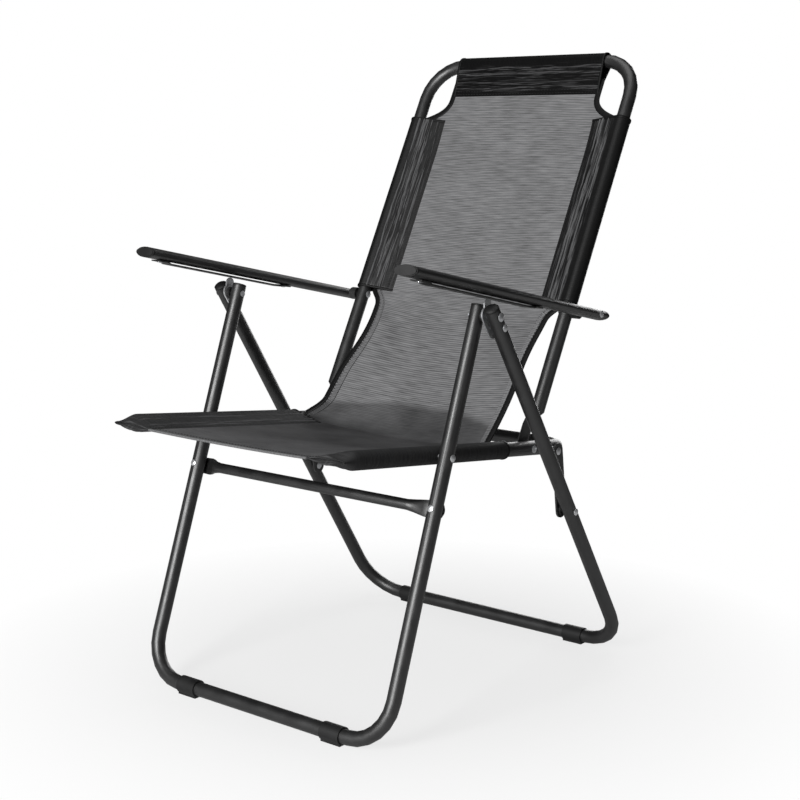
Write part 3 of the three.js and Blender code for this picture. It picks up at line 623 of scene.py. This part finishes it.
# %% Hems of the seat
x = np.linspace(-SEAT_EDGE + 0.002, SEAT_EDGE - 0.002, 160)
line = seat_at(x, seat_front(x), -seat_drop(x, seat_front(x)))
# The front hem carries a little of the seat's painted shade.
hem = tape("seat_front_hem", line, SEAT_N, 0.007, 0.0036, lie=0.3)
trims.append((hem, "panel", "seat", seat_panel))
for row, gap in enumerate((0.012, 0.018)):
    s_row = seat_front(x) + gap
    path = seat_at(x, s_row, 0.0008 - seat_drop(x, s_row))
    thread = stitches(f"seat_front_stitch_{row}", path, SEAT_N)
    trims.append((thread, "thread", "seat", seat_panel))
_, w, n, nw, nn, _ = teardrop(90)
for (side, word), sleeve in zip(SIDES, seat_sleeves):
    for row, gap in enumerate(ROWS):
        front = seat_front(SEAT_HALF - SEAM + gap) + 0.006
        s_row = np.linspace(front, SLEEVE_REAR - 0.004, 160)
        lift = seam_lift(gap) - SEAT_SEAM_N * (SEAM - gap) / SEAM
        path = seat_at(side * (SEAT_HALF - SEAM + gap), s_row, lift)
        thread = stitches(f"seat_stitch_{row}_{word}", path, SEAT_N)
        trims.append((thread, "thread", "seat", sleeve))
    drop = SEAT_SEAM_N * np.clip(w / SEAM, 0, 1)
    loop = seat_at(side * (SEAT_HALF - w), SLEEVE_REAR, n - drop)
    out = -side * nw[:, None] * X + nn[:, None] * SEAT_N
    ring = tape(f"seat_binding_{word}", loop, out, closed=True)
    trims.append((ring, "tape", "seat", sleeve))
print(len(trims), "bindings, hems and rows of stitches")

# %% [markdown]
# Finishes are node trees. Cloth reads its UV map, which is in metres, and metal and plastic
# read Object coordinates, so every pattern keeps its scale and stays put. Three helpers
# keep the trees short: one adds a node with its links, one feeds the shader, one makes a
# colour ramp.


# %% Node helpers
def finish(name):
    """A new material, its shader, a function that adds linked nodes and one that feeds it."""
    mat = bpy.data.materials.new(name)
    mat.use_nodes = True
    tree = mat.node_tree
    shader = tree.nodes["Principled BSDF"]

    def add(kind, links=(), **values):
        node = tree.nodes.new(kind)
        for key, value in values.items():
            if key in node.inputs:
                node.inputs[key].default_value = value
            else:
                setattr(node, key, value)
        for source, target in links:
            tree.links.new(source, node.inputs[target])
        return node

    def feed(source, target):
        tree.links.new(source, shader.inputs[target])

    return mat, shader, add, feed


def ramp(add, source, low, high, a, b):
    """A colour ramp between two colours over the range a to b of its source."""
    node = add("ShaderNodeValToRGB", [(source, "Fac")])
    first, last = node.color_ramp.elements
    first.position, last.position = a, b
    first.color, last.color = (*low, 1), (*high, 1)
    return node.outputs["Color"]


def grey(v):
    """One value as a nearly neutral colour, a touch cool."""
    return (v, v, v * 1.02)


print("black coat", grey(0.006), "to", grey(0.011))

# %% [markdown]
# The tubes are powder coated: black, with a fine orange-peel grain and a soft shine. The
# rivets and plates are bright zinc, and caps, plugs and feet are moulded plastic, duller
# than the coat. All three are one recipe with other numbers: a slow noise varies colour
# and roughness, and a fine one gives the grain.


# %% Powder coat, zinc and moulded plastic
def coat_finish(name, low, high, smooth, rough, grain, bump, metal=0.0, shine=0.5):
    """Speckled colour and roughness from one noise, with a fine bump from a smaller one."""
    mat, shader, add, feed = finish(name)
    where = [(add("ShaderNodeTexCoord").outputs["Object"], "Vector")]
    cloud = add("ShaderNodeTexNoise", where, Scale=38.0, Detail=5.0).outputs["Fac"]
    fine = add("ShaderNodeTexNoise", where, Scale=grain, Detail=2.0).outputs["Fac"]
    feed(ramp(add, cloud, low, high, 0.35, 0.68), "Base Color")
    feed(ramp(add, cloud, grey(smooth), grey(rough), 0.3, 0.7), "Roughness")
    relief = add("ShaderNodeBump", [(fine, "Height")], Strength=bump, Distance=0.0004)
    feed(relief.outputs["Normal"], "Normal")
    shader.inputs["Metallic"].default_value = metal
    shader.inputs["Specular IOR Level"].default_value = shine
    print(name, "with", len(mat.node_tree.nodes), "nodes")
    return mat


zinc = (0.62, 0.63, 0.65), (0.80, 0.81, 0.82)
finishes = {
    "black_steel": coat_finish(
        "black_powder_coat", grey(0.006), grey(0.011), 0.38, 0.48, 1500.0, 0.3, shine=0.85),
    "zinc_steel": coat_finish("bright_zinc", *zinc, 0.30, 0.42, 700.0, 0.12, metal=0.85),
    "black_plastic": coat_finish(
        "moulded_black", grey(0.006), grey(0.010), 0.48, 0.60, 900.0, 0.3, shine=0.4),
}
thread_finish = coat_finish(
    "black_thread", grey(0.006), grey(0.016), 0.5, 0.7, 3000.0, 0.2, shine=0.3)

# %% [markdown]
# The sling is coated yarn woven into an open mesh, with ribs across the chair. From a few
# metres the eye sees ribs, uneven streaks along them, a hint of the crossing yarn and a
# slow unevenness. These four are added up, and the sum serves twice: as shade and as bump.

# %% Weave
RIB, STREAK, YARN, CLOUD = 0.30, 0.70, 0.07, 0.28  # shares of the four patterns
RIB_SCALE, YARN_SCALE, CLOUD_SCALE = 105.0, 230.0, 9.0
STREAK_SCALE = (30.0, 360.0, 1.0)  # streaks are drawn out along the ribs
# Fine lines of painted highlight in the slack layers use the next scale.
GLINT_LINE_SCALE = (520.0, 17.0, 1.0)  # lines in slack layers are drawn out along the tube


def weave_nodes(add, where):
    """RIB x rows + STREAK x streaks + YARN x yarn + CLOUD x cloud; gives the sum and the cloud."""

    def bands(way, scale):
        wave = add("ShaderNodeTexWave", where, wave_type="BANDS", bands_direction=way, Scale=scale)
        return wave.outputs["Fac"]

    drawn = add("ShaderNodeMapping", where, Scale=STREAK_SCALE).outputs["Vector"]
    streak = add("ShaderNodeTexNoise", [(drawn, "Vector")], Scale=1.0, Detail=3.0).outputs["Fac"]
    cloud = add("ShaderNodeTexNoise", where, Scale=CLOUD_SCALE, Detail=4.0).outputs["Fac"]
    first = add("ShaderNodeMath", [(bands("Y", RIB_SCALE), 0)], operation="MULTIPLY")
    first.inputs[1].default_value = RIB
    total = first.outputs[0]
    for source, share in ((streak, STREAK), (bands("X", YARN_SCALE), YARN), (cloud, CLOUD)):
        node = add("ShaderNodeMath", [(source, 0), (total, 2)], operation="MULTIPLY_ADD")
        node.inputs[1].default_value = share
        total = node.outputs[0]
    return total, cloud


print("a rib every", round(1000 * 2 * np.pi / (20 * RIB_SCALE), 1), "mm")

# %% [markdown]
# Two kinds of painted light change that colour. Cloth that turns into the seat and lies
# level on it gets painted shade, and on the sleeves the crests of the creases and fine lines
# in the slack layers get painted highlights, like glossy wrinkles that catch the light. Both
# read the values stored with the points, so the painted light stays on its cloth when the
# chair folds.


# %% Woven finishes
def mesh_finish(name, dark, light, shine, rough, glint_colour=None, level=None):
    """The weave as colour and bump; the last two give painted highlights on crests, and the seat's painted shade.
    """
    mat, shader, add, feed = finish(name)
    where = [(add("ShaderNodeTexCoord").outputs["UV"], "Vector")]
    weave, cloud = weave_nodes(add, where)
    colour = ramp(add, weave, dark, light, 0.40, 0.92)

    def stored(key):
        return add("ShaderNodeAttribute", attribute_name=key).outputs["Fac"]

    # Painted shade: where the stored share is high, the seat's darker colours replace the weave.
    if level:
        shaded_weave = add("ShaderNodeMath", [(cloud, 0), (weave, 1)], operation="MULTIPLY").outputs[0]
        shaded_weave = ramp(add, shaded_weave, *level, 0.08, 0.60)
        links = [(stored("lie"), 0), (colour, 6), (shaded_weave, 7)]
        colour = add("ShaderNodeMix", links, data_type="RGBA").outputs[2]
    # Painted highlights: crests of creases and fine lines in slack layers turn paler, like glossy wrinkles
    # catching the light.
    if glint_colour:
        glint_lines = add("ShaderNodeMapping", where, Scale=GLINT_LINE_SCALE).outputs["Vector"]
        links = [(glint_lines, "Vector")]
        glint_lines = add("ShaderNodeTexNoise", links, Scale=1.0, Detail=2.0, Distortion=0.5)
        glint_lines = ramp(add, glint_lines.outputs["Fac"], (0, 0, 0), (1, 1, 1), 0.57, 0.72)
        links = [(glint_lines, 0), (stored("slack"), 1)]
        glint_lines = add("ShaderNodeMath", links, operation="MULTIPLY").outputs[0]
        crest_glints = ramp(add, stored("ridge"), (0, 0, 0), (1, 1, 1), 0.45, 1.1)
        links = [(glint_lines, 0), (crest_glints, 1)]
        painted_glints = add("ShaderNodeMath", links, operation="MAXIMUM", use_clamp=True).outputs[0]
        mixed = add("ShaderNodeMix", [(painted_glints, 0), (colour, 6)], data_type="RGBA")
        mixed.inputs[7].default_value = (*glint_colour, 1)
        colour = mixed.outputs[2]
    feed(colour, "Base Color")
    relief = add("ShaderNodeBump", [(weave, "Height")], Strength=0.35, Distance=0.0005)
    feed(relief.outputs["Normal"], "Normal")
    shader.inputs["Roughness"].default_value = rough
    shader.inputs["Specular IOR Level"].default_value = shine
    print(name, "with", len(mat.node_tree.nodes), "nodes")
    return mat


# The darker pair of weave colours for the seat's painted shade.
seat_shade_colours = (grey(0.018), grey(0.095))
panel_mesh = mesh_finish("sling_weave", grey(0.055), grey(0.200), 0.12, 0.6, level=seat_shade_colours)
# The last colour of each sleeve finish is its painted highlight on crests and fine lines.
sleeve_mesh = mesh_finish(
    "sleeve_weave", grey(0.0025), grey(0.007), 0.30, 0.42, glint_colour=grey(0.075))
seat_mesh = mesh_finish(
    "seat_sleeve_weave", grey(0.014), grey(0.050), 0.08, 0.6, glint_colour=grey(0.08))
# The top sleeve gets a darker copy of the sleeve weave: painted shade, as it faces up into the light.
band_painted_shade_mesh = mesh_finish("band_weave", grey(0.0020), grey(0.005), 0.06, 0.5, glint_colour=grey(0.045))
tape_weave = mesh_finish("binding_weave", grey(0.0025), grey(0.006), 0.15, 0.5)

# %% [markdown]
# The frame's tubes are packed as many flat facets. A small node modifier joins them and
# shades every shallow edge smooth, so a bend reads as one round tube while real edges stay
# crisp. The mesh itself is left as it is.

# %% Smooth shading for the frame
SHARP, JOIN = np.radians(38), 1e-5  # edges flatter than this turn smooth; points this near join
soft = bpy.data.node_groups.new("shade_round_tubes", "GeometryNodeTree")
soft.is_modifier = True
for way in ("INPUT", "OUTPUT"):
    soft.interface.new_socket("Geometry", in_out=way, socket_type="NodeSocketGeometry")
kinds = ("NodeGroupInput", "GeometryNodeMergeByDistance", "GeometryNodeSetShadeSmooth",
         "GeometryNodeSetShadeSmooth", "NodeGroupOutput")
chain = [soft.nodes.new(kind) for kind in kinds]
chain[1].inputs["Distance"].default_value = JOIN
chain[3].domain = "EDGE"
for one, two in zip(chain, chain[1:]):
    soft.links.new(one.outputs[0], two.inputs[0])
shallow = soft.nodes.new("FunctionNodeCompare")
shallow.operation, shallow.inputs["B"].default_value = "LESS_THAN", SHARP
soft.links.new(soft.nodes.new("GeometryNodeInputMeshEdgeAngle").outputs[0], shallow.inputs["A"])
soft.links.new(shallow.outputs[0], chain[3].inputs["Shade Smooth"])

for part in record["subparts"]:
    node = frame["nodes"][part["node"]]
    node.data.materials.clear()
    node.data.materials.append(finishes.get(part["material_slot"], panel_mesh))
    node.modifiers.new("round", "NODES").node_group = soft
print(len(record["subparts"]), "frame pieces finished")

# %% [markdown]
# Every piece of cloth rides on the body that carries it. Only the free span and its trim
# cross a pivot; they are left where they are, with their transform baked in, and ride on
# no body.

# %% Give the cloth its finish and its body
SPLIT_POINT = tuple(span_at(SPAN_SPLIT))
BENDS = {
    "upper": ("back_pins", "back", SPLIT_POINT, tuple(span_at(0.04))),
    "lower": ("seat", "back_pins", tuple(span_at(0.97)), SPLIT_POINT),
}


def dress(obj, mat, body):
    """Finish a piece and let it ride on a body; at the free span, bake it in place instead."""
    obj.data.materials.append(mat)
    if body in BENDS:
        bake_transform(obj)
    else:
        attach(obj, body)


pieces = [(back_panel, panel_mesh, "back"), (top_sleeve, band_painted_shade_mesh, "back")]
pieces += [(sleeve, sleeve_mesh, "back") for sleeve in back_sleeves]
pieces += [(span_upper, panel_mesh, "upper"), (span_lower, panel_mesh, "lower")]
pieces += [(seat_panel, panel_mesh, "seat")]
pieces += [(sleeve, seat_mesh, "seat") for sleeve in seat_sleeves]
trim_finish = {"tape": tape_weave, "panel": panel_mesh, "thread": thread_finish}
pieces += [(obj, trim_finish[kind], body) for obj, kind, body, _ in trims]
for obj, mat, body in pieces:
    dress(obj, mat, body)

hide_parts("back_sling")
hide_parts("seat_sling")
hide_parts("sling_lumbar")
print(len(pieces), "pieces of cloth and thread dressed")

# %% [markdown]
# Each sheet is listed with the size it was cut to: a sleeve's girth times its length, a
# panel's width times its length, and the two strips of the free span. The cloth is
# stretched between tubes, so the cut size is close to the size in place.

girth = 2 * np.sqrt(SEAM**2 - SLEEVE_R**2) + 2 * SLEEVE_R * (np.pi - np.arccos(SLEEVE_R / SEAM))
top_girth = girth + 2 * (BAND - SEAM)
PANEL_WIDE, PANEL_LONG, SEAT_LONG = 0.31, 0.37, 0.38
UPPER_WIDE, LOWER_WIDE = 0.346, 0.338
sheets = [(sleeve, girth, BACK_HIGH - BACK_LOW, "back_frame") for sleeve in back_sleeves]
sheets += [(sleeve, girth, SLEEVE_REAR - SEAT_FRONT, "seat_frame") for sleeve in seat_sleeves]
sheets += [
    (top_sleeve, top_girth, 2 * BAND_HALF, "back_frame"),
    (back_panel, PANEL_WIDE, PANEL_LONG, "back_frame"),
    (span_upper, UPPER_WIDE, SPAN_LENGTH * SPAN_SPLIT, "back_frame"),
    (span_lower, LOWER_WIDE, SPAN_LENGTH * (1 - SPAN_SPLIT), "seat_frame"),
    (seat_panel, 2 * SEAT_EDGE, SEAT_LONG, "seat_frame"),
]
for obj, wide, long, tube in sheets:
    print(obj.name, "cut", round(wide, 3), "x", round(long, 3))

# %% [markdown]
# A pale floor takes the chair's shadow. To the camera it is mostly clear near the chair
# and wholly clear further out, so the white world behind it shows through. A plain white
# floor would need more light to look white, and would hide the rear legs, which swing
# below floor level when the chair is folded.

# %% Floor
FLOOR, FLOOR_GREY = 8.0, 0.55  # half width and colour
NEAR, FAR, NEAR_CLEAR = 0.3, 0.75, 0.74  # where clearing starts and ends, and its first share
corners = FLOOR * np.array([[-1, -1, 0], [1, -1, 0], [1, 1, 0], [-1, 1, 0]])
floor = mesh_from("floor", corners, np.array([[0, 1, 2, 3]]))
floor_mat, shader, add, feed = finish("pale_floor")
shader.inputs["Base Color"].default_value = (FLOOR_GREY, FLOOR_GREY, FLOOR_GREY, 1)
shader.inputs["Roughness"].default_value = 0.9
shader.inputs["Specular IOR Level"].default_value = 0.1
where = add("ShaderNodeTexCoord").outputs["Object"]
far = add("ShaderNodeVectorMath", [(where, 0)], operation="LENGTH").outputs["Value"]
limits = {"From Min": NEAR, "From Max": FAR, "To Min": NEAR_CLEAR}
fade = add("ShaderNodeMapRange", [(far, "Value")], **limits).outputs["Result"]
seen = add("ShaderNodeLightPath").outputs["Is Camera Ray"]
share = add("ShaderNodeMath", [(fade, 0), (seen, 1)], operation="MULTIPLY").outputs[0]
clear = add("ShaderNodeBsdfTransparent").outputs[0]
mixed = add("ShaderNodeMixShader", [(share, 0), (shader.outputs[0], 1), (clear, 2)])
surface = floor_mat.node_tree.nodes["Material Output"].inputs["Surface"]
floor_mat.node_tree.links.new(mixed.outputs[0], surface)
floor.data.materials.append(floor_mat)
print("floor", 2 * FLOOR, "m wide")

# %% [markdown]
# The world is white to the camera and dim as a light, so it gives the background without
# washing out the black frame. The light comes from softboxes: a tall key from the front,
# which draws one highlight down each tube, and weaker ones from the right, above and
# behind, so that no side is lost in black.

# %% Light
DIM, WHITE = 0.05, 1.0
CHAIR_MIDDLE = (0, 0, 0.5)
world = bpy.data.worlds.new("studio")
bpy.context.scene.world = world
world.use_nodes = True
nodes, links = world.node_tree.nodes, world.node_tree.links
light_path = nodes.new("ShaderNodeLightPath")
level = nodes.new("ShaderNodeMapRange")
level.inputs["To Min"].default_value, level.inputs["To Max"].default_value = DIM, WHITE
links.new(light_path.outputs["Is Camera Ray"], level.inputs["Value"])
links.new(level.outputs["Result"], nodes["Background"].inputs["Strength"])
nodes["Background"].inputs["Color"].default_value = (1, 1, 1, 1)


def softbox(name, place, wide, high, power):
    """A rectangular area lamp at a place, turned to face the middle of the chair."""
    lamp = bpy.data.lights.new(name, "AREA")
    lamp.shape, lamp.size, lamp.size_y, lamp.energy = "RECTANGLE", wide, high, power
    obj = bpy.data.objects.new(name, lamp)
    obj.location = place
    toward = Vector(CHAIR_MIDDLE) - Vector(place)
    obj.rotation_euler = toward.to_track_quat("-Z", "Y").to_euler()
    bpy.context.scene.collection.objects.link(obj)
    print(name, "lamp", power, "W")


softbox("key", (0.20, -2.9, 1.35), 1.0, 1.7, 128)
softbox("fill", (2.6, -0.4, 1.2), 1.2, 1.8, 1.5)
softbox("top", (0.0, 0.1, 2.7), 1.8, 1.8, 19)
softbox("back", (-0.9, 2.9, 0.9), 1.6, 1.6, 34)

# %% [markdown]
# The camera stands where the photograph was taken from. Its place, turn and lens were
# fitted to the corners of the frame, so they are given as numbers and not aimed by hand.

# %% Camera
EYE, LENS, SENSOR = (1.478, -1.8168, 0.8404), 67.8, 36.0
camera = bpy.data.cameras.new("photo_camera")
camera.lens, camera.sensor_width = LENS, SENSOR
photo_camera = bpy.data.objects.new("photo_camera", camera)
right = unit(np.array([0.7774, 0.6290, 0.0]))
up = unit(np.array([-0.1088, 0.1345, 0.9849]))
turn = np.stack([right, up, np.cross(right, up)], 1)
photo_camera.matrix_world = Matrix.Translation(EYE) @ Matrix(turn.tolist()).to_4x4()
bpy.context.scene.collection.objects.link(photo_camera)
bpy.context.scene.camera = photo_camera
bpy.context.scene.view_settings.view_transform = "Standard"
print("camera at", EYE, "with a lens of", LENS, "mm")
